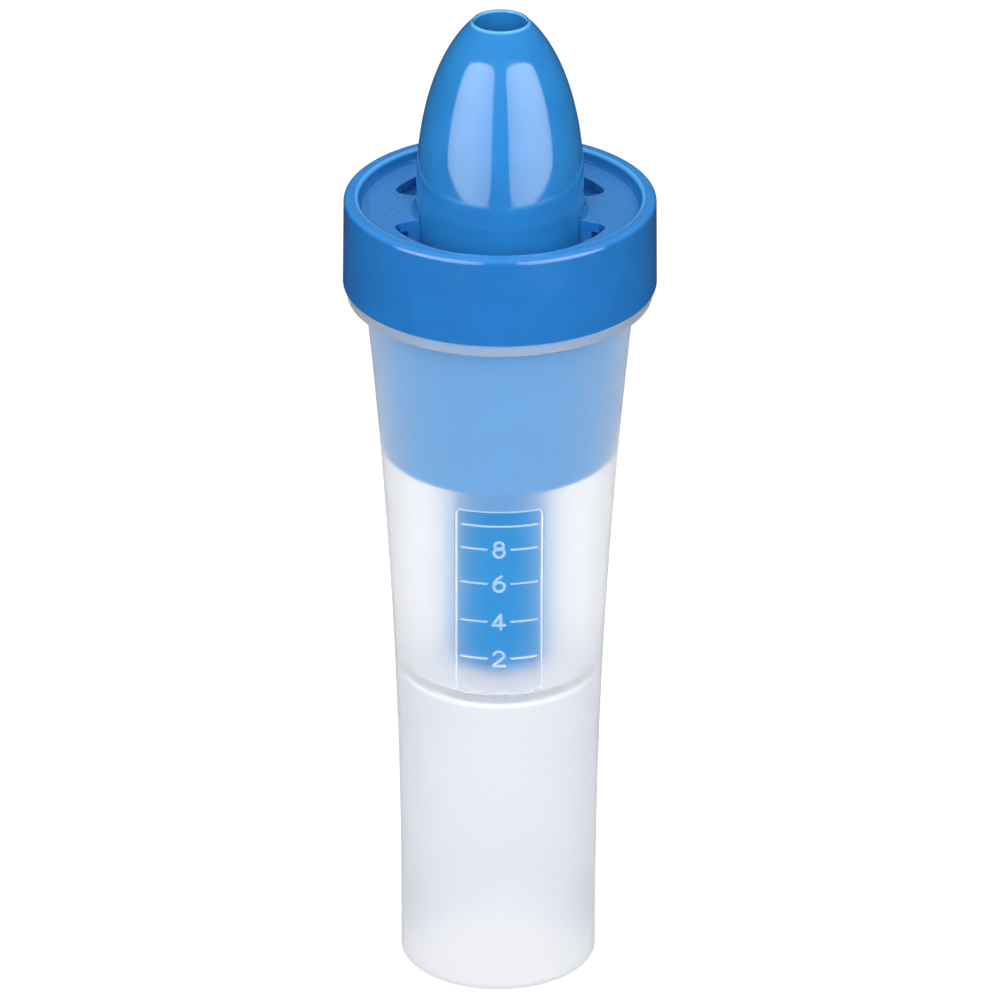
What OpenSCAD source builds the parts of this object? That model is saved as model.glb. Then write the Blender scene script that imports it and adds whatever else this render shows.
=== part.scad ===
// Vented nozzle cup: a frosted measuring cup that a plug cap closes. Air enters by the
// vents in the cap's deck, goes down inside the plug, and leaves by the dip tube and the
// nozzle. The origin is the centre of the base, +Z is up, and the scale faces -Y.

/* [Cup] */
// Radius of the straight lower wall
cup_r = 11.65; // [11.4:0.05:12]
// Thickness of the cup's wall
cup_wall = 1.2; // [1:0.05:1.4]
// Height at which the wall starts to flare
flare_start = 8; // [4:0.5:12]
// Radius of the sweep that the flare follows
flare_sweep = 772; // [740:1:800]
// Height of the chamber's floor
floor_z = 39.5; // [36:0.5:40]
// Thickness of the chamber's floor
floor_t = 1.2; // [1:0.1:2]
// Underside of the flange that stops the cap's skirt
flange_z = 86.4; // [85.4:0.1:86.4]
// Thickness of the flange
flange_t = 1.4; // [1:0.1:1.4]
// Radius of the flange
flange_r = 17.7; // [17.2:0.1:18]

/* [Scale] */
// Width of the polished window
window_w = 10; // [8:0.1:11]
// Lower edge of the window
window_bottom = 40.3; // [40:0.1:42]
// Upper edge of the window
window_top = 64.7; // [64:0.1:66]
// Height of the first mark, at 2 ml
first_mark = 45; // [44:0.1:46]
// How far the scale stands out of the wall
relief = 0.15; // [0.1:0.05:0.2]

/* [Cap] */
// Radius of the cap at its rim
cap_r = 18; // [17.9:0.1:18.4]
// How much the skirt widens from the rim down to its lower edge
skirt_draft = 0.15; // [0:0.05:0.3]
// Top of the rim
cap_top = 98.6; // [98.3:0.1:99]
// Lower edge of the skirt
skirt_bottom = 87.9; // [87.9:0.1:88.8]
// Radius inside the rim
rim_inner_r = 16.3; // [16:0.1:16.6]
// How far the deck lies below the rim
deck_drop = 1.65; // [1.4:0.05:1.8]
// Thickness of the deck
deck_t = 1.2; // [1:0.1:1.4]
// Lower edge of the plug inside the cup
plug_bottom = 66.3; // [66:0.1:70]
// Thickness of the plug's wall
plug_wall = 1.1; // [1:0.05:1.3]

/* [Vents] */
// Arc that each of the two vents spans, front and rear, in degrees
vent_span = 141; // [120:1:150]
// Outer radius of the vents
vent_outer_r = 13.25; // [12:0.05:13.5]

/* [Nozzle] */
// Radius of the nozzle where its dome begins
nozzle_r = 9.69; // [9.5:0.01:9.8]
// Height of the dome if it came to a point
dome_rise = 23.64; // [23:0.01:24]
// Height above the deck at which the nozzle's dome begins
foot_h = 1.35; // [1:0.05:1.5]
// Height of the nozzle's tip above the base
tip_z = 120.4; // [119.5:0.1:120.4]
// Radius of the hole in the tip
hole_r = 2.96; // [2.5:0.01:3]
// Thickness of the nozzle's shell
shell_wall = 1.3; // [1.1:0.05:1.4]

/* [Dip tube] */
// Outer radius of the dip tube
tube_r = 5.4; // [5:0.1:5.5]
// Thickness of the dip tube's wall
tube_wall = 1.1; // [0.8:0.1:1.3]
// Gap between the tube's lower end and the chamber's floor
tube_gap = 0.6; // [0.4:0.1:2]
// Height of the tube's upper end, inside the nozzle
tube_top = 106; // [104:0.5:107]

/* [Hidden] */
$fn = 96;

deck_top = cap_top - deck_drop;
deck_under = deck_top - deck_t;
// The cup's lip meets the deck's underside.
lip_z = deck_under;
flange_top = flange_z + flange_t;
base_edge = 0.15;
flare_steps = 14;

// Clearances between pieces that come apart
plug_gap = 0.15;
skirt_gap = 0.15;
spigot_gap = 0.05;

// Marks at 2, 4, 6 and 8 ml, with a plain line above them at the fill limit
mark_rises = [0, 5, 10.1, 14.7, 17.8];
mark_w = 0.3;
mark_span = 8.8;
mark_dash = 3;
frame_w = 0.25;

// Two webs at the sides join the deck to a ring below it, and rise a little against the nozzle.
// The nozzle's foot goes down between the webs, stands on the ring, and its spigot goes through.
foot_r = nozzle_r + 0.1;
bore_r = foot_r + spigot_gap;
hub_wall = 1.2;
web_rise = 0.9;
hub_r = bore_r + hub_wall;
hub_bottom = deck_top - 5;
seat_z = hub_bottom + 1.2;
spigot_r = 8.55;
spigot_bottom = hub_bottom - 0.2;
collar_wall = 1.2;
collar_bottom = hub_bottom + 2;
collar_top = 109.5;
dome_start = deck_top + foot_h;
dome_steps = 22;

// Radius of the cup's outer wall at height z: straight, then a shallow sweep outward
function flare_r(z) = cup_r + pow(max(z - flare_start, 0), 2) / (2 * flare_sweep);

// Points (radius, height) along the flare from z0 to z1, moved outward by grow
function flare(z0, z1, grow, steps) =
    [for (i = [0:steps]) let (z = z0 + (z1 - z0) * i / steps) [flare_r(z) + grow, z]];

// Radius of the nozzle's outer wall at height z: a blunt bullet
function dome_r(z) =
    nozzle_r * pow(1 - pow(max(z - dome_start, 0) / dome_rise, 2.283), 1 / 1.732);

// Points along the dome from z0 to z1, closer together towards the tip
function dome(z0, z1, grow, steps) =
    [for (i = [0:steps]) let (z = z0 + (z1 - z0) * sin(90 * i / steps)) [dome_r(z) + grow, z]];

function reversed(list) = [for (i = [len(list) - 1:-1:0]) list[i]];

// Points of a quarter-round edge about (r, z), from angle a0 to a1
function edge_arc(r, z, radius, a0, a1, steps = 4) =
    [for (i = [0:steps]) let (a = a0 + (a1 - a0) * i / steps)
        [r + radius * cos(a), z + radius * sin(a)]];

module cup_wall_and_floor() {
    rotate_extrude()
        polygon(concat(
            [[cup_r - base_edge, 0], [cup_r, base_edge]],
            flare(flare_start, flange_z, 0, flare_steps),
            [[flange_r, flange_z], [flange_r, flange_top]],
            flare(flange_top, lip_z, 0, 3),
            reversed(flare(floor_z, lip_z, -cup_wall, flare_steps)),
            [[0, floor_z], [0, floor_z - floor_t]],
            reversed(flare(flare_start, floor_z - floor_t, -cup_wall, 6)),
            [[cup_r - cup_wall, 0]]
        ));
}

// A bar on the cup's front, centred on x and z, deep enough to meet the wall
module front_bar(x, z, w, h) {
    translate([x - w / 2, -flange_r, z - h / 2]) cube([w, flange_r, h]);
}

module window_outline() {
    window_h = window_top - window_bottom;
    window_mid = (window_top + window_bottom) / 2;
    for (side = [-1, 1]) {
        front_bar(side * (window_w - frame_w) / 2, window_mid, frame_w, window_h);
        front_bar(0, window_mid + side * (window_h - frame_w) / 2, window_w, frame_w);
    }
}

// The limit line runs right across. The others leave room for a numeral.
module scale_marks() {
    limit = len(mark_rises) - 1;
    for (i = [0:limit - 1])
        for (side = [-1, 1])
            front_bar(side * (mark_span - mark_dash) / 2, first_mark + mark_rises[i],
                mark_dash, mark_w);
    front_bar(0, first_mark + mark_rises[limit], mark_span, mark_w);
}

// The outline and the marks follow the flared wall, and stand out of it by the relief.
module scale_relief() {
    sunk = cup_wall / 2;
    intersection() {
        rotate_extrude()
            polygon(concat(
                flare(window_bottom - 1, window_top + 1, relief, 8),
                reversed(flare(window_bottom - 1, window_top + 1, -sunk, 8))
            ));
        union() {
            window_outline();
            scale_marks();
        }
    }
}

module cup() {
    color("lavender")
        union() {
            cup_wall_and_floor();
            scale_relief();
        }
}

// Opens the deck and the hub's wall, and leaves the hub's ring.
module vent() {
    rotate([0, 0, -vent_span / 2])
        rotate_extrude(angle = vent_span)
            translate([bore_r - 0.5, seat_z])
                square([vent_outer_r - bore_r + 0.5, deck_top - seat_z + 1]);
}

// Rim, deck, skirt, plug and nozzle hub are one moulding, so one outline makes them all.
module cap_moulding() {
    rim_round = 0.6;
    deck_fillet = 0.3;
    foot_edge = 0.15;
    web_lip = 0.15;
    skirt_foot_r = cap_r + skirt_draft;
    skirt_r = flare_r(lip_z) + skirt_gap;
    plug_grow = -cup_wall - plug_gap;
    rotate_extrude()
        polygon(concat(
            flare(plug_bottom, deck_under, plug_grow, 8),
            [[skirt_r, deck_under], [skirt_r, skirt_bottom]],
            [[skirt_foot_r - foot_edge, skirt_bottom], [skirt_foot_r, skirt_bottom + foot_edge]],
            edge_arc(cap_r - rim_round, cap_top - rim_round, rim_round, 0, 90),
            edge_arc(rim_inner_r + rim_round, cap_top - rim_round, rim_round, 90, 180),
            [[rim_inner_r, deck_top + deck_fillet], [rim_inner_r - deck_fillet, deck_top]],
            [[bore_r + web_rise, deck_top], [bore_r + web_lip, deck_top + web_rise]],
            [[bore_r, deck_top + web_rise], [bore_r, seat_z], [spigot_r + spigot_gap, seat_z]],
            [[spigot_r + spigot_gap, hub_bottom], [hub_r, hub_bottom], [hub_r, deck_under]],
            reversed(flare(plug_bottom, deck_under, plug_grow - plug_wall, 8))
        ));
}

module cap() {
    color("dodgerblue")
        difference() {
            cap_moulding();
            for (middle = [90, 270])
                rotate([0, 0, middle]) vent();
        }
}

// A bullet-shaped shell whose foot goes down through the deck to a spigot. The collar inside
// it holds the tube.
module nozzle() {
    shell_r = spigot_r - cup_wall;
    color("dodgerblue")
        rotate_extrude()
            polygon(concat(
                [[shell_r, spigot_bottom], [spigot_r - 0.2, spigot_bottom]],
                [[spigot_r, spigot_bottom + 0.2], [spigot_r, seat_z], [foot_r, seat_z]],
                dome(dome_start, tip_z - 0.2, 0, dome_steps),
                [[hole_r + 0.2, tip_z], [hole_r, tip_z - 0.2]],
                [[hole_r, tube_top + 2], [tube_r - tube_wall, tube_top]],
                [[tube_r, tube_top], [tube_r, collar_bottom]],
                [[tube_r + collar_wall, collar_bottom], [tube_r + collar_wall, collar_top]],
                reversed(dome(dome_start, collar_top, -shell_wall, 6)),
                [[foot_r - shell_wall, seat_z + shell_wall + 0.5], [shell_r, seat_z + 0.5]]
            ));
}

module dip_tube() {
    tube_bottom = floor_z + tube_gap;
    color("royalblue")
        difference() {
            translate([0, 0, tube_bottom])
                cylinder(h = tube_top - tube_bottom, r = tube_r);
            translate([0, 0, tube_bottom - 1])
                cylinder(h = tube_top - tube_bottom + 2, r = tube_r - tube_wall);
        }
}

cup();
cap();
nozzle();
dip_tube();
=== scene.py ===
"""Looks for the vented nozzle cup: a frosted measuring cup with a flared wall, closed by a blue plug cap
with a bullet-shaped nozzle and a dip tube. Each piece stands for one CAD node.

Lengths below are millimetres in the row's frame, with z = 0 at the base and the scale facing -Y. The
meshes are built in metres. Each outline is a list of (radius, height) points that a lathe turns."""

import math

import bmesh
import bpy
import numpy as np
from mathutils import Matrix, Vector


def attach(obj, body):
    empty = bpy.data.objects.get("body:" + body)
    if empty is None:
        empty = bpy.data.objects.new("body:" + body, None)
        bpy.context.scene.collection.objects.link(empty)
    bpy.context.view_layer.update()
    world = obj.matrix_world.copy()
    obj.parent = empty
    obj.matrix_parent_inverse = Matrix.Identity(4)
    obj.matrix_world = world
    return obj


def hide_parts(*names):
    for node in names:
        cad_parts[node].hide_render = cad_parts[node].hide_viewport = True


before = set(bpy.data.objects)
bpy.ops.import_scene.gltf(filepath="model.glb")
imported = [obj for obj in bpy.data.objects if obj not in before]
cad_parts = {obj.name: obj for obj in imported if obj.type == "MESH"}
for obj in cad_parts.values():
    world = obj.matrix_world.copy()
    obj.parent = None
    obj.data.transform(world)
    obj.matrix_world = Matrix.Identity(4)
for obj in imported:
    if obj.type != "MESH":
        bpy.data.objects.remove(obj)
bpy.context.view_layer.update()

MM = 0.001

# ---------------------------------------------------------------- sizes, as the CAD has them
CUP_R = 11.65
CUP_WALL = 1.2
FLARE_START = 8.0
FLARE_SWEEP = 772.0
FLOOR_Z = 39.5
FLOOR_T = 1.2
FLANGE_Z = 86.4
FLANGE_TOP = FLANGE_Z + 1.4
FLANGE_R = 17.7

CAP_R = 18.0
SKIRT_DRAFT = 0.15
CAP_TOP = 98.6
SKIRT_BOTTOM = 87.9
RIM_INNER_R = 16.3
DECK_TOP = CAP_TOP - 1.65
DECK_UNDER = DECK_TOP - 1.2
PLUG_BOTTOM = 66.3
PLUG_WALL = 1.1
PLUG_GAP = 0.15
SKIRT_GAP = 0.15
# How far the plug's two faces lie inside the cup's outer wall
PLUG_OUTSIDE = -CUP_WALL - PLUG_GAP
PLUG_INSIDE = PLUG_OUTSIDE - PLUG_WALL

VENT_SPAN = math.radians(141)
VENT_OUTER_R = 13.25
# The vents' outer corners, which the CAD leaves sharp
VENT_CORNER = 1.35

NOZZLE_R = 9.69
DOME_START = DECK_TOP + 1.35
DOME_RISE = 23.64
DOME_POWER = 2.283
DOME_ROOT = 1.732
TIP_Z = 120.4
HOLE_R = 2.96
SHELL_WALL = 1.3
SPIGOT_R = 8.55
SPIGOT_GAP = 0.05
HUB_R = 11.04
HUB_BOTTOM = DECK_TOP - 5
SEAT_Z = HUB_BOTTOM + 1.2
WEB_RISE = 0.9
COLLAR_WALL = 1.2
COLLAR_BOTTOM = HUB_BOTTOM + 2
COLLAR_TOP = 109.5

TUBE_R = 5.4
TUBE_WALL = 1.1
TUBE_BOTTOM = FLOOR_Z + 0.6
TUBE_TOP = 106.0

WINDOW_W = 10.0
WINDOW_BOTTOM = 40.3
WINDOW_TOP = 64.7
RELIEF = 0.15
MARKS = [("2", 45.0), ("4", 50.0), ("6", 55.1), ("8", 59.7), ("", 62.8)]
MARK_HALF_SPAN = 4.4
MARK_DASH = 3.0

# The nozzle's foot and the bore around it, closer together than the CAD's working clearance
FOOT_R = 9.71
BORE_R = 9.74

LATHE_COLUMNS = 192

# ---------------------------------------------------------------- finishes and light
CUP_TINT = (0.975, 0.98, 0.995)
# Painted shade for the inside of the hollow skirt and, darker, towards its base
SKIRT_PAINTED_SHADE = (0.79, 0.81, 0.86)
BASE_PAINTED_SHADE = (0.68, 0.7, 0.76)
CUP_IOR = 1.22
FROST = 0.46
FROST_VEIL = 0.09
FLANGE_VEIL = 0.2
RELIEF_VEIL = 0.3
INNER_HAZE = 0.72
CAP_BLUE = (0.014, 0.155, 0.45)
NOZZLE_BLUE = (0.021, 0.2, 0.5)
PLUG_BLUE = (0.014, 0.2, 0.45)
# A lighter blue for the inside of the plug, painted in for light there
PAINTED_LIGHT_INSIDE_BLUE = (0.09, 0.36, 0.85)
TUBE_BLUE = (0.005, 0.2, 0.46)
# Lighter blue painted on as a highlight at the nozzle's tip and along the top of the cap's rim
PAINTED_HIGHLIGHT_BLUE = (0.12, 0.46, 0.86)
SATIN_SPECULAR = 0.2
BLUE_BODY = {
    "Specular_IOR_Level": 0.95,
    "IOR": 1.5,
    "Subsurface_Weight": 0.5,
    "Subsurface_Scale": 0.0012,
    "Subsurface_Radius": (0.25, 0.7, 1.0),
}
SOFTBOX = 3.0
LAMP_LEAN = 0.2
FILL = 5.05
AMBIENT_SIDE = 0.36
AMBIENT_TOP = 1.5
AMBIENT_GLOSS = 0.1
# Brightness of the floor and the surround as the camera sees them. Above 1, it makes up for the light
# that the frosted wall loses.
BACKDROP = 1.07


# ---------------------------------------------------------------- outlines
def flare_r(z):
    """Radius of the cup's outer wall at height z: straight, then a shallow sweep outward."""
    return CUP_R + max(z - FLARE_START, 0.0) ** 2 / (2 * FLARE_SWEEP)


def flare(z0, z1, grow, steps):
    """Points along the flare from z0 to z1, moved outward by grow."""
    return [(flare_r(z) + grow, z) for z in np.linspace(z0, z1, steps + 1)]


def dome_r(z):
    """Radius of the nozzle's outer wall at height z: a blunt bullet."""
    rise = max(z - DOME_START, 0.0) / DOME_RISE
    return NOZZLE_R * (1 - rise**DOME_POWER) ** (1 / DOME_ROOT)


def dome(z0, z1, steps):
    """Points along the dome from z0 to z1, closer together towards z1."""
    turns = np.linspace(0, math.pi / 2, steps + 1)
    return [(dome_r(z), z) for z in z0 + (z1 - z0) * np.sin(turns)]


def rounded(corners, steps=6):
    """An outline from (radius, height, rounding) corners. Each rounded corner becomes an arc, with one
    more point just outside each of its ends, so that smooth shading stays flat beyond them."""
    hold = 0.06
    points = []
    for i, corner in enumerate(corners):
        here = Vector(corner[:2])
        rounding = corner[2] if len(corner) > 2 else 0.0
        if rounding <= 0 or i in (0, len(corners) - 1):
            points.append(tuple(here))
            continue
        back = (Vector(corners[i - 1][:2]) - here).normalized()
        on = (Vector(corners[i + 1][:2]) - here).normalized()
        half = back.angle(on) / 2
        reach = rounding / math.tan(half)
        centre = here + (back + on).normalized() * (rounding / math.sin(half))
        start, end = here + back * reach, here + on * reach
        a0 = math.atan2(start.y - centre.y, start.x - centre.x)
        a1 = math.atan2(end.y - centre.y, end.x - centre.x)
        turn = (a1 - a0 + math.pi) % (2 * math.pi) - math.pi
        points.append(tuple(start + back * hold))
        for k in range(steps + 1):
            a = a0 + turn * k / steps
            points.append((centre.x + rounding * math.cos(a), centre.y + rounding * math.sin(a)))
        points.append(tuple(end + on * hold))
    return points


# ---------------------------------------------------------------- meshes
def lathe(name, outline, angles=None, closed=True, shape=None):
    """A solid turned about +Z. A closed outline is a loop; an open one starts and ends on the axis.
    shape(x, y, z, row) may move the points, given as arrays in mm, of one row."""
    if angles is None:
        angles = np.arange(LATHE_COLUMNS) * 2 * math.pi / LATHE_COLUMNS
    angles = np.asarray(angles)
    mesh = bmesh.new()
    rows = []
    for row, (r, z) in enumerate(outline):
        if r < 1e-9:
            rows.append([mesh.verts.new((0, 0, z * MM))] * len(angles))
            continue
        x, y, heights = r * np.cos(angles), r * np.sin(angles), np.full(len(angles), float(z))
        if shape is not None:
            x, y, heights = shape(x, y, heights, row)
        rows.append([mesh.verts.new((a * MM, b * MM, c * MM)) for a, b, c in zip(x, y, heights)])
    pairs = list(zip(rows, rows[1:] + rows[:1])) if closed else list(zip(rows, rows[1:]))
    for lower, upper in pairs:
        for i in range(len(angles)):
            j = (i + 1) % len(angles)
            corners = list(dict.fromkeys((lower[i], lower[j], upper[j], upper[i])))
            if len(corners) >= 3:
                mesh.faces.new(corners)
    bmesh.ops.recalc_face_normals(mesh, faces=mesh.faces)
    return mesh_object(name, mesh)


def mesh_object(name, mesh):
    data = bpy.data.meshes.new(name)
    mesh.to_mesh(data)
    mesh.free()
    data.shade_smooth()
    obj = bpy.data.objects.new(name, data)
    bpy.context.scene.collection.objects.link(obj)
    return obj


def sharpen(obj, degrees):
    """Marks the edges that turn by more than this as sharp, so that smooth shading stops there."""
    data = obj.data
    mesh = bmesh.new()
    mesh.from_mesh(data)
    for edge in mesh.edges:
        if len(edge.link_faces) == 2 and edge.calc_face_angle() > math.radians(degrees):
            edge.smooth = False
    mesh.to_mesh(data)
    mesh.free()


def apply_modifiers(obj):
    graph = bpy.context.evaluated_depsgraph_get()
    data = bpy.data.meshes.new_from_object(obj.evaluated_get(graph), depsgraph=graph)
    obj.modifiers.clear()
    obj.data = data


# ---------------------------------------------------------------- the scale's relief
def arc(cx, cz, radius, start, end, steps=14):
    """Points of an arc, with angles in degrees, anticlockwise from +X as seen from the front."""
    turns = np.radians(np.linspace(start, end, steps + 1))
    return [(cx + radius * math.cos(t), cz + radius * math.sin(t)) for t in turns]


def numeral_strokes(numeral):
    """Strokes of a plain numeral about its own middle, 2.0 mm tall between stroke centres."""
    if numeral == "2":
        return [arc(0, 0.42, 0.58, 165, -20) + [(-0.66, -1.0), (0.68, -1.0)]]
    if numeral == "4":
        return [[(0.22, -1.0), (0.22, 1.0), (-0.72, -0.45), (0.72, -0.45)]]
    if numeral == "6":
        return [arc(0, -0.38, 0.62, 0, 360, 24), arc(0.88, -0.38, 1.5, 180, 113)]
    if numeral == "8":
        return [arc(0, 0.5, 0.5, 0, 360, 20), arc(0, -0.42, 0.6, 0, 360, 24)]
    return []


def window_loop():
    """The window's raised outline, with its corners rounded more below than above."""
    half = WINDOW_W / 2
    top, bottom = 0.5, 1.0
    return (
        arc(half - top, WINDOW_TOP - top, top, 0, 90, 6)
        + arc(top - half, WINDOW_TOP - top, top, 90, 180, 6)
        + arc(bottom - half, WINDOW_BOTTOM + bottom, bottom, 180, 270, 8)
        + arc(half - bottom, WINDOW_BOTTOM + bottom, bottom, 270, 360, 8)
        + [(half, WINDOW_TOP - top)]
    )


def scale_strokes():
    """Every raised line as (points, half its width)."""
    outline_w, mark_w, numeral_w = 0.08, 0.12, 0.17
    strokes = [(window_loop(), outline_w)]
    inner = MARK_HALF_SPAN - MARK_DASH
    for numeral, z in MARKS:
        if numeral:
            strokes.append(([(-MARK_HALF_SPAN, z), (-inner, z)], mark_w))
            strokes.append(([(inner, z), (MARK_HALF_SPAN, z)], mark_w))
        else:
            strokes.append(([(-MARK_HALF_SPAN, z), (MARK_HALF_SPAN, z)], mark_w))
        for points in numeral_strokes(numeral):
            strokes.append(([(x, z + dz) for x, dz in points], numeral_w))
    return strokes


def relief_at(x, z, strokes):
    """Share of the full relief at each (x, z): 1 within a stroke, with a soft edge, and 0 elsewhere."""
    edge = 0.14
    height = np.zeros(len(x))
    for points, half_w in strokes:
        zs = [p[1] for p in points]
        if z.max() < min(zs) - 1 or z.min() > max(zs) + 1:
            continue
        for (x0, z0), (x1, z1) in zip(points, points[1:]):
            dx, dz = x1 - x0, z1 - z0
            t = np.clip(((x - x0) * dx + (z - z0) * dz) / max(dx * dx + dz * dz, 1e-12), 0, 1)
            far = np.hypot(x - x0 - t * dx, z - z0 - t * dz)
            s = np.clip((half_w + edge / 2 - far) / edge, 0, 1)
            height = np.maximum(height, s * s * (3 - 2 * s))
    return height


def fine_rows():
    """Heights of the outer wall's rows: close together across the marks, numerals and corners."""
    fine, coarse = 0.1, 1.5
    numeral_reach, line_reach = 1.3, 0.3
    heights = list(np.arange(FLARE_START, FLANGE_Z - 0.5, coarse))
    reaches = [(z, numeral_reach if numeral else line_reach) for numeral, z in MARKS]
    bands = [(z - reach, z + reach) for z, reach in reaches]
    bands += [(WINDOW_BOTTOM - 0.3, WINDOW_BOTTOM + 1.1), (WINDOW_TOP - 0.7, WINDOW_TOP + 0.3)]
    for low, high in bands:
        heights = [z for z in heights if not low - 0.4 < z < high + 0.4]
        heights += list(np.arange(low, high + fine / 2, fine))
    return sorted(heights)


# ---------------------------------------------------------------- the pieces
def build_cup():
    """One moulding: wall, flange, floor and hollow skirt, with the scale raised on its front."""
    front = math.radians(27)
    front_column = math.radians(0.45)
    side_columns = 110
    fine_angles = np.arange(-math.pi / 2 - front, -math.pi / 2 + front, front_column)
    rest = np.linspace(front, 2 * math.pi - front, side_columns, endpoint=False) - math.pi / 2
    angles = np.concatenate([fine_angles, rest])
    base_edge = 0.15
    base = rounded([
        (CUP_R - CUP_WALL, 3),
        (CUP_R - CUP_WALL, 0, base_edge),
        (CUP_R, 0, base_edge),
        (CUP_R, 3),
    ])
    outer = [(flare_r(z), z) for z in fine_rows()]
    collar = rounded([
        (flare_r(FLANGE_Z - 0.4), FLANGE_Z - 0.4),
        (flare_r(FLANGE_Z), FLANGE_Z, 0.12),
        (FLANGE_R, FLANGE_Z, 0.12),
        (FLANGE_R, FLANGE_TOP, 0.2),
        (flare_r(FLANGE_TOP), FLANGE_TOP, 0.12),
        (flare_r(DECK_UNDER), DECK_UNDER, 0.25),
        (flare_r(DECK_UNDER) - CUP_WALL, DECK_UNDER, 0.25),
        (flare_r(90) - CUP_WALL, 90),
    ], steps=4)
    inner = flare(88, FLOOR_Z + 2, -CUP_WALL, 24)
    floor = rounded([
        inner[-1], (flare_r(FLOOR_Z) - CUP_WALL, FLOOR_Z, 0.6), (4, FLOOR_Z)
    ])[1:] + [(0, FLOOR_Z)]
    under_z = FLOOR_Z - FLOOR_T
    under = [(0, under_z)] + rounded([
        (4, under_z), (flare_r(under_z) - CUP_WALL, under_z, 0.6),
        (flare_r(under_z - 2) - CUP_WALL, under_z - 2),
    ])
    skirt = flare(under_z - 3, FLARE_START, -CUP_WALL, 14)
    outline = under + skirt + base[1:] + outer + collar[1:] + inner[1:] + floor
    strokes = scale_strokes()

    first = len(under) + len(skirt) + len(base) - 1
    last = first + len(outer)

    def raise_scale(x, y, z, row):
        if not first <= row < last or not WINDOW_BOTTOM - 1 < z[0] < WINDOW_TOP + 1:
            return x, y, z
        grow = np.where(y < 0, relief_at(x, z, strokes), 0.0) * RELIEF
        r = np.hypot(x, y)
        return x * (r + grow) / r, y * (r + grow) / r, z

    cup = lathe("cup_moulding", outline, angles, closed=False, shape=raise_scale)
    sharpen(cup, 50)
    mark_relief(cup)
    return cup


def mark_relief(cup):
    """Keeps each point's share of the relief as an attribute, which the cup's material reads."""
    points = np.array([v.co for v in cup.data.vertices]) / MM
    radius = np.hypot(points[:, 0], points[:, 1])
    wall = np.array([flare_r(z) for z in points[:, 2]])
    share = np.clip((radius - wall) / RELIEF, 0, 1)
    on_scale = (np.abs(points[:, 0]) < WINDOW_W) & (points[:, 1] < 0)
    on_scale &= (points[:, 2] > WINDOW_BOTTOM - 1) & (points[:, 2] < WINDOW_TOP + 1)
    relief = cup.data.attributes.new("relief", "FLOAT", "POINT")
    relief.data.foreach_set("value", np.where(on_scale, share, 0.0).astype(np.float32))


def give_faces(obj, materials, pick):
    """Gives each face one of the materials: pick takes the faces' middles in mm and returns their slots."""
    obj.data.materials.clear()
    for material in materials:
        obj.data.materials.append(material)
    middles = np.array([p.center for p in obj.data.polygons]) / MM
    obj.data.polygons.foreach_set("material_index", pick(middles).astype(np.int32))


def inside_cup(middles):
    """2 for the faces of the chamber's floor, 1 for the rest of the cup's inner side, 0 outside."""
    radius = np.hypot(middles[:, 0], middles[:, 1])
    wall = np.array([flare_r(z) for z in middles[:, 2]])
    inside = radius < wall - CUP_WALL / 2
    on_floor = (middles[:, 2] > FLOOR_Z - FLOOR_T - 0.5) & (middles[:, 2] < FLOOR_Z + 0.5)
    return inside * 1 + (inside & on_floor) * 1


def vent_cutter(middle):
    """A bar with the outline of one arc vent, with its outer corners rounded. It opens the deck and the
    hub's wall down to the hub's ring."""
    half, corner = VENT_SPAN / 2, VENT_CORNER
    inner_r, corner_at = BORE_R - 0.6, VENT_OUTER_R - corner
    outer = half - math.asin(corner / corner_at)
    outline = [
        (VENT_OUTER_R * math.cos(t), VENT_OUTER_R * math.sin(t)) for t in np.linspace(-outer, outer, 60)
    ]
    for side in (1, -1):
        at = (corner_at * math.cos(outer), side * corner_at * math.sin(outer))
        turns = side * np.linspace(outer, half + math.pi / 2, 12)
        end = [(at[0] + corner * math.cos(t), at[1] + corner * math.sin(t)) for t in turns[1:]]
        end.append((inner_r * math.cos(half), side * inner_r * math.sin(half)))
        outline = outline + end if side == 1 else end[::-1] + outline
    outline += [(inner_r * math.cos(t), inner_r * math.sin(t)) for t in np.linspace(half, -half, 50)[1:-1]]
    mesh = bmesh.new()
    turn = Matrix.Rotation(middle, 2)
    rings = []
    for z in (SEAT_Z, DECK_TOP + 1):
        points = [turn @ Vector(p) for p in outline]
        rings.append([mesh.verts.new((p.x * MM, p.y * MM, z * MM)) for p in points])
    mesh.faces.new(rings[0])
    mesh.faces.new(rings[1])
    for i in range(len(outline)):
        j = (i + 1) % len(outline)
        mesh.faces.new((rings[0][i], rings[0][j], rings[1][j], rings[1][i]))
    bmesh.ops.recalc_face_normals(mesh, faces=mesh.faces)
    return mesh_object("vent_cutter", mesh)


def cut_vents(cap):
    """Cuts the front and rear vents through the deck and rounds over their edges."""
    cutters = [vent_cutter(side * math.pi / 2) for side in (-1, 1)]
    for cutter in cutters:
        cut = cap.modifiers.new("cut", "BOOLEAN")
        cut.operation, cut.solver, cut.object = "DIFFERENCE", "EXACT", cutter
    round_over = cap.modifiers.new("round_over", "BEVEL")
    round_over.limit_method, round_over.angle_limit = "ANGLE", math.radians(60)
    round_over.width, round_over.segments = 0.2 * MM, 3
    apply_modifiers(cap)
    for cutter in cutters:
        bpy.data.objects.remove(cutter)


def even_shading(obj):
    """Lets each point's normal follow its largest faces, so that flats stay flat beside rounded edges."""
    weighted = obj.modifiers.new("even_shading", "WEIGHTED_NORMAL")
    weighted.keep_sharp = True


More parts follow.
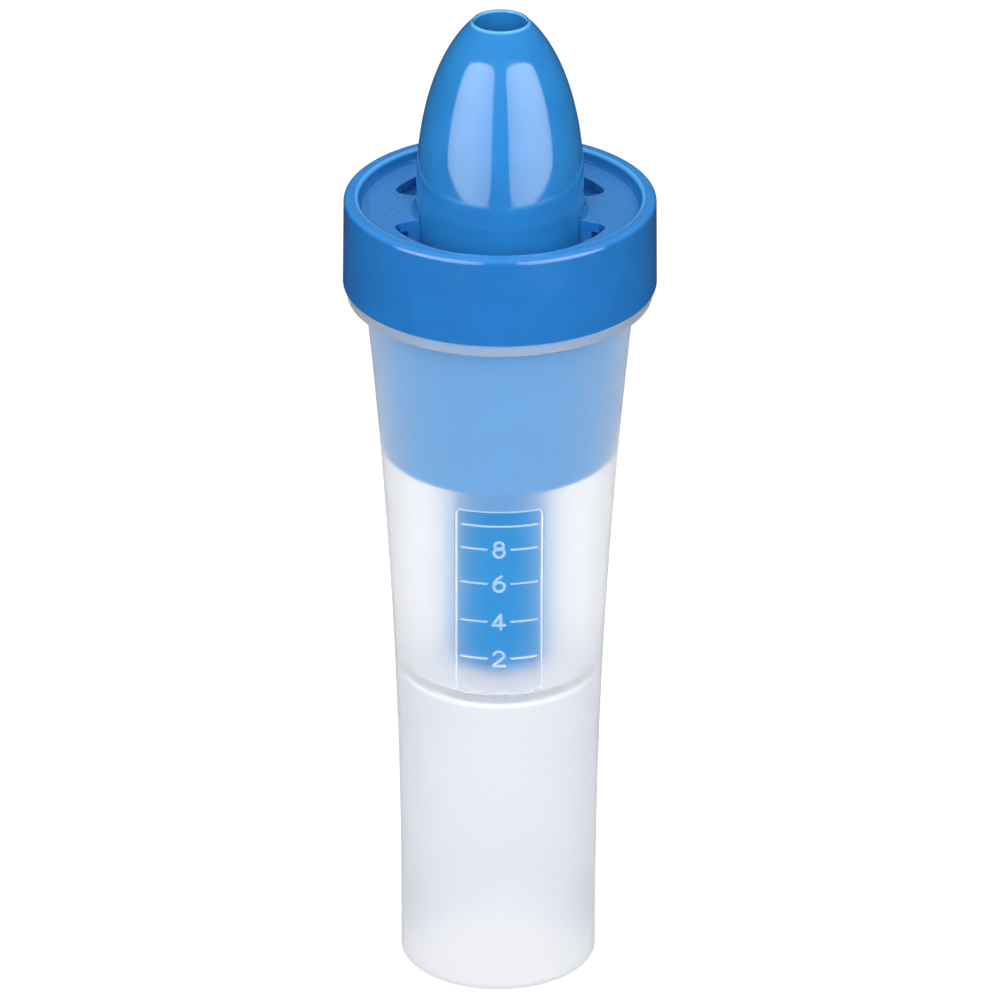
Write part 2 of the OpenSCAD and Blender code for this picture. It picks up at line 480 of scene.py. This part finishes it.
def build_cap():
    """One moulding: rim, sunken deck, skirt, plug and the hub that holds the nozzle."""
    skirt_r = flare_r(DECK_UNDER) + SKIRT_GAP
    foot_r = CAP_R + SKIRT_DRAFT
    web_r = BORE_R + 0.05
    outline = (
        rounded([
            (flare_r(PLUG_BOTTOM + 2) + PLUG_INSIDE, PLUG_BOTTOM + 2),
            (flare_r(PLUG_BOTTOM) + PLUG_INSIDE, PLUG_BOTTOM, 0.3),
            (flare_r(PLUG_BOTTOM) + PLUG_OUTSIDE, PLUG_BOTTOM, 0.3),
            (flare_r(PLUG_BOTTOM + 2) + PLUG_OUTSIDE, PLUG_BOTTOM + 2),
        ])
        + flare(PLUG_BOTTOM + 4, DECK_UNDER - 1, PLUG_OUTSIDE, 16)
        + rounded([
            (flare_r(DECK_UNDER - 0.9) + PLUG_OUTSIDE, DECK_UNDER - 0.9),
            (flare_r(DECK_UNDER) + PLUG_OUTSIDE, DECK_UNDER, 0.2),
            (skirt_r, DECK_UNDER, 0.2),
            (skirt_r, SKIRT_BOTTOM, 0.2),
            (foot_r, SKIRT_BOTTOM, 0.15),
            (CAP_R, CAP_TOP, 0.6),
            (RIM_INNER_R, CAP_TOP, 0.4),
            (RIM_INNER_R, DECK_TOP, 0.7),
            (web_r, DECK_TOP, 0.8),
            (web_r, DECK_TOP + WEB_RISE),
            (BORE_R, DECK_TOP + WEB_RISE),
            (BORE_R, SEAT_Z, 0.05),
            (SPIGOT_R + SPIGOT_GAP, SEAT_Z, 0.1),
            (SPIGOT_R + SPIGOT_GAP, HUB_BOTTOM, 0.2),
            (HUB_R, HUB_BOTTOM, 0.2),
            (HUB_R, DECK_UNDER, 0.3),
            (flare_r(DECK_UNDER) + PLUG_INSIDE, DECK_UNDER, 0.3),
            (flare_r(DECK_UNDER - 2) + PLUG_INSIDE, DECK_UNDER - 2),
        ])
        + flare(DECK_UNDER - 3, PLUG_BOTTOM + 4, PLUG_INSIDE, 14)
    )
    cap = lathe("cap_moulding", outline)
    cut_vents(cap)
    even_shading(cap)
    return cap


def build_nozzle():
    """A bullet-shaped shell with a spigot below the deck and a collar inside for the dip tube."""
    shell_r = SPIGOT_R - CUP_WALL
    tip = TIP_Z - 0.45
    collar_r = TUBE_R + COLLAR_WALL
    outline = (
        rounded([
            (shell_r, HUB_BOTTOM + 1), (shell_r, HUB_BOTTOM - 0.2, 0.15),
            (SPIGOT_R, HUB_BOTTOM - 0.2, 0.2), (SPIGOT_R, SEAT_Z, 0.05),
            (FOOT_R, SEAT_Z, 0.1), (NOZZLE_R, DOME_START),
        ])
        + dome(DOME_START + 0.6, tip, 60)
        + rounded([
            (dome_r(tip), tip), (HOLE_R + 0.2, TIP_Z, 0.12), (HOLE_R, TIP_Z, 0.2),
            (HOLE_R, TUBE_TOP + 2, 0.3), (TUBE_R - TUBE_WALL, TUBE_TOP, 0.1),
            (TUBE_R, TUBE_TOP, 0.1), (TUBE_R, COLLAR_BOTTOM, 0.1),
            (collar_r, COLLAR_BOTTOM, 0.2), (collar_r, COLLAR_TOP, 0.3),
        ])[1:]
        + [(dome_r(z) - SHELL_WALL, z) for z in np.linspace(COLLAR_TOP - 0.1, DOME_START, 12)]
        + [(FOOT_R - SHELL_WALL, SEAT_Z + 1.8), (shell_r, SEAT_Z + 0.5)]
    )
    nozzle = lathe("nozzle_shell", outline)
    even_shading(nozzle)
    return nozzle


def build_dip_tube():
    """A plain tube, from the nozzle's collar down to just above the chamber's floor."""
    inner = TUBE_R - TUBE_WALL
    outline = rounded([
        (inner, 70), (inner, TUBE_BOTTOM, 0.25), (TUBE_R, TUBE_BOTTOM, 0.3),
        (TUBE_R, TUBE_TOP, 0.2), (inner, TUBE_TOP, 0.2), (inner, 90),
    ])
    tube = lathe("dip_tube_wall", outline)
    even_shading(tube)
    return tube


# ---------------------------------------------------------------- nodes
def put(tree, socket, value):
    """Links another node's output to the socket, or sets the socket to a number or a tuple."""
    if isinstance(value, bpy.types.NodeSocket):
        tree.links.new(value, socket)
    else:
        socket.default_value = value


def math_node(tree, operation, a, b=0.0):
    node = tree.nodes.new("ShaderNodeMath")
    node.operation = operation
    put(tree, node.inputs[0], a)
    put(tree, node.inputs[1], b)
    return node.outputs[0]


def mix_node(tree, share, low, high, data_type="FLOAT"):
    """A number or, with data_type RGBA, a colour that goes from low to high as share goes from 0 to 1."""
    node = tree.nodes.new("ShaderNodeMix")
    node.data_type = data_type
    put(tree, node.inputs["Factor"], share)
    put(tree, node.inputs["A"], low)
    put(tree, node.inputs["B"], high)
    return node.outputs["Result"]


# ---------------------------------------------------------------- materials
class Nodes:
    """Short ways to add nodes to one material. An input is a number, a tuple or another node's output."""

    def __init__(self, name):
        self.material = bpy.data.materials.new(name)
        self.material.use_nodes = True
        self.tree = self.material.node_tree
        self.bsdf = self.tree.nodes["Principled BSDF"]
        coords = self.tree.nodes.new("ShaderNodeTexCoord")
        self.place = coords.outputs["Object"]
        split = self.tree.nodes.new("ShaderNodeSeparateXYZ")
        self.tree.links.new(self.place, split.inputs[0])
        self.x, self.y, self.z = split.outputs

    def put(self, socket, value):
        put(self.tree, socket, value)

    def finish(self, **inputs):
        """Sets the shader's inputs, named with _ for a space, and gives back the material."""
        for name, value in inputs.items():
            self.put(self.bsdf.inputs[name.replace("_", " ")], value)
        return self.material

    def math(self, operation, a, b=0.0):
        return math_node(self.tree, operation, a, b)

    def step(self, value, start, end, low=0.0, high=1.0):
        """Goes smoothly from low to high as value goes from start to end."""
        node = self.tree.nodes.new("ShaderNodeMapRange")
        node.interpolation_type = "SMOOTHSTEP"
        for socket, v in zip(node.inputs, (value, start, end, low, high)):
            self.put(socket, v)
        return node.outputs[0]

    def band(self, value, start, end, soft):
        """1 between start and end, and 0 beyond, with soft edges."""
        rise = self.step(value, start - soft / 2, start + soft / 2)
        fall = self.step(value, end - soft / 2, end + soft / 2, 1.0, 0.0)
        return self.math("MULTIPLY", rise, fall)

    def noise(self, size, detail=2.0):
        """Even noise from 0 to 1 whose blotches are about size across, in mm."""
        node = self.tree.nodes.new("ShaderNodeTexNoise")
        self.put(node.inputs["Vector"], self.place)
        self.put(node.inputs["Scale"], 1 / (size * MM))
        self.put(node.inputs["Detail"], detail)
        return node.outputs["Fac"]

    def mix(self, share, low, high):
        return mix_node(self.tree, share, low, high, "RGBA")

    def mix_number(self, share, low, high):
        return mix_node(self.tree, share, low, high)

    def bump(self, height, depth, strength=1.0):
        """A surface normal for a relief of that depth, in mm, where height goes from 0 to 1."""
        node = self.tree.nodes.new("ShaderNodeBump")
        self.put(node.inputs["Strength"], strength)
        self.put(node.inputs["Distance"], depth * MM)
        self.put(node.inputs["Height"], height)
        return node.outputs["Normal"]

    def clouded(self, colour, spread, size):
        """The colour with faint darker and lighter clouds in it, as pigment leaves in a moulding."""
        darker = (*(c * (1 - spread) for c in colour), 1)
        lighter = (*(c * (1 + spread) for c in colour), 1)
        return self.mix(self.step(self.noise(size), 0.3, 0.7), darker, lighter)

    def radius(self):
        """Distance from the cup's axis."""
        squares = [self.math("MULTIPLY", v, v) for v in (self.x, self.y)]
        return self.math("SQRT", self.math("ADD", *squares))


def glossy_blue(name, colour, roughness, **body):
    """Blue polypropylene: a faint ripple in the surface, gloss that varies a little about the roughness
    given, and a painted highlight, a lighter ring at the height of the nozzle's tip."""
    n = Nodes(name)
    gloss = n.step(n.noise(2.5), 0.25, 0.75, roughness * 0.8, roughness * 1.25)
    # Painted highlight: a ring at the nozzle's tip is mixed towards the highlight blue
    painted_tip_highlight = n.step(n.z, (TIP_Z - 0.4) * MM, (TIP_Z - 0.1) * MM)
    return n.finish(
        Base_Color=n.mix(painted_tip_highlight, n.clouded(colour, 0.04, 5), (*PAINTED_HIGHLIGHT_BLUE, 1)),
        Roughness=gloss,
        Normal=n.bump(n.noise(1.6, 0), 0.003),
        **BLUE_BODY | body,
    )


def cap_blue(name, colour, roughness):
    """The same plastic, with a spark-textured, matter deck inside the rim, painted a lighter blue for the
    light that falls on it from above, and a painted highlight along the top of the rim, brightest at its
    inner edge.
    """
    n = Nodes(name)
    on_deck = n.math(
        "MULTIPLY",
        n.band(n.z, (DECK_TOP - 0.1) * MM, (DECK_TOP + 0.12) * MM, 0.05 * MM),
        n.step(n.radius(), (RIM_INNER_R - 0.5) * MM, (RIM_INNER_R - 0.1) * MM, 1.0, 0.0),
    )
    gloss = n.step(n.noise(2.5), 0.25, 0.75, roughness * 0.8, roughness * 1.25)
    texture = n.math("MULTIPLY", n.noise(0.35, 3), n.mix_number(on_deck, 0.08, 1.0))
    # The deck gets a lighter copy of the blue, painted in for the light that falls on it from above
    lighter = tuple(c * k for c, k in zip(colour, (1.8, 1.25, 1.12)))
    # Painted highlight: the top of the rim is mixed towards the highlight blue, most at its inner edge
    inner_edge_highlight = n.band(n.radius(), (RIM_INNER_R - 0.1) * MM, (RIM_INNER_R + 0.4) * MM, 0.1 * MM)
    painted_rim_highlight = n.math(
        "MULTIPLY",
        n.mix_number(inner_edge_highlight, 0.15, 0.65),
        n.step(n.z, (CAP_TOP - 0.5) * MM, (CAP_TOP - 0.1) * MM),
    )
    moulding = n.mix(painted_rim_highlight, n.clouded(colour, 0.04, 5), (*PAINTED_HIGHLIGHT_BLUE, 1))
    return n.finish(
        Base_Color=n.mix(on_deck, moulding, n.clouded(lighter, 0.1, 0.5)),
        Roughness=n.mix_number(on_deck, gloss, 0.5),
        Normal=n.bump(texture, 0.06),
        **BLUE_BODY,
    )


def plug_blue(name, colour):
    """The cap's plug and the rest of its underside, left satin by the mould."""
    n = Nodes(name)
    return n.finish(
        Base_Color=n.clouded(colour, 0.05, 3),
        Roughness=n.step(n.noise(2.5), 0.25, 0.75, 0.4, 0.5),
        Normal=n.bump(n.noise(0.5, 2), 0.01),
        **BLUE_BODY | {"Specular_IOR_Level": SATIN_SPECULAR},
    )


def under_deck(middles):
    """2 for the faces inside the cap's plug, 1 for the rest of its underside, 0 for the others."""
    radius = np.hypot(middles[:, 0], middles[:, 1])
    mid_plug = np.array([flare_r(z) for z in middles[:, 2]]) + (PLUG_OUTSIDE + PLUG_INSIDE) / 2
    below = (middles[:, 2] < DECK_UNDER + 0.3) & (radius < CAP_R - 0.6) & (radius > HUB_R - 0.3)
    return below * 1 + (below & (radius < mid_plug)) * 1


def frosted_outside(name):
    """Natural polypropylene, frosted all over but for a polished window; the raised scale is whiter."""
    n = Nodes(name)
    half = WINDOW_W / 2
    across = n.band(n.x, -half * MM, half * MM, 0.15 * MM)
    upright = n.band(n.z, WINDOW_BOTTOM * MM, WINDOW_TOP * MM, 0.15 * MM)
    facing = n.step(n.y, -1 * MM, 1 * MM, 1.0, 0.0)
    window = n.math("MULTIPLY", n.math("MULTIPLY", across, upright), facing)
    relief = n.tree.nodes.new("ShaderNodeAttribute")
    relief.attribute_name = "relief"
    raised = n.step(relief.outputs["Fac"], 0.2, 0.8)
    polished = n.math("MULTIPLY", window, n.math("SUBTRACT", 1.0, raised))
    grain = n.noise(0.3, 3)
    frost = n.step(n.noise(3), 0.25, 0.75, FROST - 0.03, FROST + 0.03)
    milky = n.step(n.z, (FLANGE_Z - 0.2) * MM, (FLANGE_Z + 0.1) * MM, 1 - FROST_VEIL, 1 - FLANGE_VEIL)
    clear = n.mix_number(polished, milky, 1.0)
    return n.finish(
        Base_Color=n.mix(raised, n.clouded(CUP_TINT, 0.012, 0.5), (0.97, 0.98, 1.0, 1)),
        Roughness=n.mix_number(polished, frost, 0.08),
        Transmission_Weight=n.mix_number(raised, clear, 1 - RELIEF_VEIL),
        Normal=n.bump(grain, 0.02, n.mix_number(polished, 1.0, 0.05)),
        IOR=CUP_IOR,
    )


def frosted_inside(name):
    """The cup's inner side: hazy from the mould, with a very fine ripple, and painted shade: darker in the
    hollow skirt and darker still towards its base."""
    n = Nodes(name)
    haze = n.step(n.noise(3), 0.25, 0.75, INNER_HAZE - 0.03, INNER_HAZE + 0.03)
    # Painted shade: the inner side is darker in the hollow skirt and darker still towards its base
    in_skirt = n.step(n.z, (FLOOR_Z - FLOOR_T - 1) * MM, (FLOOR_Z - FLOOR_T) * MM, 1.0, 0.0)
    near_base = n.step(n.z, 4 * MM, 14 * MM, 1.0, 0.0)
    skirt = n.mix(near_base, n.clouded(SKIRT_PAINTED_SHADE, 0.006, 4), n.clouded(BASE_PAINTED_SHADE, 0.006, 4))
    return n.finish(
        Base_Color=n.mix(in_skirt, n.clouded(CUP_TINT, 0.006, 4), skirt),
        Roughness=haze,
        Transmission_Weight=1.0,
        Normal=n.bump(n.noise(1.2, 1), 0.002),
        IOR=CUP_IOR,
    )


def frosted_floor(name):
    """The chamber's floor: the same plastic, thicker at the gate and so milkier."""
    n = Nodes(name)
    return n.finish(
        Base_Color=n.clouded(CUP_TINT, 0.01, 2),
        Roughness=n.step(n.noise(3), 0.25, 0.75, 0.45, 0.5),
        Transmission_Weight=0.8,
        Normal=n.bump(n.noise(1.2, 1), 0.002),
        IOR=CUP_IOR,
    )


def one_finish(middles):
    return np.zeros(len(middles))


def finish_piece(obj, body, node, slot, *materials, pick=one_finish):
    """Gives a piece its materials, attaches it to the body it rides on, and hides the CAD part of the node
    it stands for.
    """
    give_faces(obj, materials, pick)
    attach(obj, body)
    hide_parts(node)


# ---------------------------------------------------------------- stage
def make_camera():
    """The photograph's view: from well away, a little above, with the scale facing the camera."""
    distance, elevation, lens = 902.5, math.radians(26.5), 277.2
    aim = Vector((0.08, 0, 59.47)) * MM
    back = Vector((0, -math.cos(elevation), math.sin(elevation)))
    data = bpy.data.cameras.new("camera")
    data.lens = lens
    data.clip_end = 10
    camera = bpy.data.objects.new("camera", data)
    camera.matrix_world = (
        Matrix.Translation(aim + back * distance * MM)
        @ (-back).to_track_quat("-Z", "Y").to_matrix().to_4x4()
        @ Matrix.Rotation(math.radians(0.15), 4, "Z")
    )
    bpy.context.scene.collection.objects.link(camera)
    bpy.context.scene.camera = camera


def seen_directly(tree, path):
    """1 for what the camera sees straight, through the clear cup or reflected by a piece inside it, and 0
    for light on its way. path is the Light Path node's outputs."""
    passed = math_node(tree, "MULTIPLY", path["Is Glossy Ray"], path["Transmission Depth"])
    through = math_node(tree, "MAXIMUM", path["Is Transmission Ray"], passed)
    either = math_node(tree, "MAXIMUM", path["Is Camera Ray"], through)
    return math_node(tree, "MINIMUM", either, 1.0)


def make_floor():
    """A plain white floor that looks evenly white and still bounces soft light up. It lies just under
    the cup's base."""
    half_m, below, grey = 6, 0.02, 0.5
    mesh = bmesh.new()
    bmesh.ops.create_grid(mesh, x_segments=1, y_segments=1, size=half_m)
    floor = mesh_object("floor", mesh)
    floor.location.z = -below * MM
    material = bpy.data.materials.new("floor_white")
    material.use_nodes = True
    tree = material.node_tree
    bsdf = tree.nodes["Principled BSDF"]
    bsdf.inputs["Base Color"].default_value = (grey, grey, grey, 1)
    bsdf.inputs["Roughness"].default_value = 0.9
    bsdf.inputs["Specular IOR Level"].default_value = 0.0
    white = tree.nodes.new("ShaderNodeEmission")
    white.inputs["Strength"].default_value = BACKDROP
    path = tree.nodes.new("ShaderNodeLightPath").outputs
    mix = tree.nodes.new("ShaderNodeMixShader")
    tree.links.new(seen_directly(tree, path), mix.inputs[0])
    tree.links.new(bsdf.outputs[0], mix.inputs[1])
    tree.links.new(white.outputs[0], mix.inputs[2])
    tree.links.new(mix.outputs[0], tree.nodes["Material Output"].inputs["Surface"])
    floor.data.materials.append(material)
    floor.visible_glossy = False


def softbox(name, side):
    """A tall rectangular lamp beside the camera, with round corners, brightest above and at its middle.
    Its face is square to a direction 25 degrees to the camera's side, and it spreads from there. It
    makes the highlights, and the fill lamp lights the matt surfaces."""
    distance, height, turn = 350, 105, side * math.radians(25)
    near, far = math.tan(math.radians(-14)), math.tan(math.radians(54))
    low, high = -0.4, 0.8
    out = Vector((math.sin(turn), -math.cos(turn), 0))
    across = Vector((math.cos(turn), math.sin(turn), 0)) * side
    middle = out + across * (near + far) / 2 + Vector((0, 0, (low + high) / 2))
    data = bpy.data.lights.new(name, "AREA")
    data.shape = "RECTANGLE"
    data.size, data.size_y = distance * (far - near) * MM, distance * (high - low) * MM
    data.energy = SOFTBOX * math.pi * data.size * data.size_y
    lamp = bpy.data.objects.new(name, data)
    lamp.matrix_world = (
        Matrix.Translation((Vector((0, 0, height)) + middle * distance) * MM)
        @ (-out).to_track_quat("-Z", "Y").to_matrix().to_4x4()
    )
    lamp.visible_camera = False
    lamp.visible_diffuse = False
    bpy.context.scene.collection.objects.link(lamp)
    soften_lamp(data)


def fill_lamp():
    """A broad lamp above the camera, which fades the matt surfaces from the front to the sides."""
    distance, elevation, width, height, aim_z = 600, math.radians(35), 500, 400, 60
    out = Vector((0, -math.cos(elevation), math.sin(elevation)))
    data = bpy.data.lights.new("fill", "AREA")
    data.shape = "RECTANGLE"
    data.size, data.size_y = width * MM, height * MM
    data.energy = FILL * math.pi * data.size * data.size_y
    lamp = bpy.data.objects.new("fill", data)
    lamp.matrix_world = (
        Matrix.Translation((Vector((0, 0, aim_z)) + out * distance) * MM)
        @ (-out).to_track_quat("-Z", "Y").to_matrix().to_4x4()
    )
    lamp.visible_camera = False
    lamp.visible_glossy = False
    lamp.visible_transmission = False
    bpy.context.scene.collection.objects.link(lamp)


def soften_lamp(data):
    """Gives a lamp's face round corners and a gentle falloff towards its sides and its lower edge."""
    squareness, middle, side_fade = 8.0, 1.1, 0.45
    data.use_nodes = True
    tree = data.node_tree

    def math_of(operation, a, b=0.0):
        return math_node(tree, operation, a, b)

    split = tree.nodes.new("ShaderNodeSeparateXYZ")
    face = tree.nodes.new("ShaderNodeNewGeometry").outputs["Parametric"]
    tree.links.new(face, split.inputs[0])
    across, up = (math_of("SUBTRACT", math_of("MULTIPLY", v, 2.0), 1.0) for v in split.outputs[:2])
    powers = [math_of("POWER", math_of("ABSOLUTE", v), squareness) for v in (across, up)]
    inside = tree.nodes.new("ShaderNodeMapRange")
    for socket, value in zip(inside.inputs, (math_of("ADD", *powers), 0.7, 1.0, 1.0, 0.0)):
        put(tree, socket, value)
    faded = math_of("MULTIPLY", math_of("POWER", across, 2.0), side_fade)
    sides = math_of("SUBTRACT", middle, faded)
    upward = math_of("ADD", 1.0, math_of("MULTIPLY", up, LAMP_LEAN))
    glow = math_of("MULTIPLY", math_of("MULTIPLY", inside.outputs[0], sides), upward)
    tree.links.new(glow, tree.nodes["Emission"].inputs["Strength"])


def make_world():
    """A white surround, brighter overhead for matt surfaces and dim in reflections, as a studio is."""
    world = bpy.data.worlds.new("studio")
    world.use_nodes = True
    world.cycles.sampling_method = "NONE"
    tree = world.node_tree
    coords = tree.nodes.new("ShaderNodeTexCoord")
    split = tree.nodes.new("ShaderNodeSeparateXYZ")
    tree.links.new(coords.outputs["Generated"], split.inputs[0])
    rise = tree.nodes.new("ShaderNodeMapRange")
    tree.links.new(split.outputs["Z"], rise.inputs["Value"])
    rise.inputs["To Min"].default_value = AMBIENT_SIDE
    rise.inputs["To Max"].default_value = AMBIENT_TOP
    path = tree.nodes.new("ShaderNodeLightPath").outputs
    dim = math_node(tree, "MULTIPLY", rise.outputs[0], AMBIENT_GLOSS)
    ambient = mix_node(tree, path["Is Glossy Ray"], rise.outputs[0], dim)
    strength = mix_node(tree, seen_directly(tree, path), ambient, BACKDROP)
    background = tree.nodes["Background"]
    tree.links.new(strength, background.inputs["Strength"])
    background.inputs["Color"].default_value = (1, 1, 1, 1)
    bpy.context.scene.world = world


make_camera()
make_floor()
make_world()
softbox("softbox_left", -1)
softbox("softbox_right", 1)
fill_lamp()
bpy.context.scene.view_settings.view_transform = "Standard"

finish_piece(
    build_cup(), "cup", "cup", "frosted_cup",
    frosted_outside("cup_frosted"), frosted_inside("cup_inside"), frosted_floor("cup_floor"),
    pick=inside_cup,
)
# The faces inside the cap's plug get a lighter blue, painted in for light inside the plug
finish_piece(
    build_cap(), "cap", "cap", "blue_cap",
    cap_blue("cap_blue", CAP_BLUE, 0.1), plug_blue("cap_plug", PLUG_BLUE),
    plug_blue("cap_inside_painted_light", PAINTED_LIGHT_INSIDE_BLUE), pick=under_deck,
)
finish_piece(
    build_nozzle(), "nozzle", "nozzle", "blue_nozzle", glossy_blue("nozzle_blue", NOZZLE_BLUE, 0.08)
)
finish_piece(
    build_dip_tube(), "nozzle", "dip_tube", "blue_tube",
    glossy_blue("tube_blue", TUBE_BLUE, 0.45, Specular_IOR_Level=SATIN_SPECULAR),
)
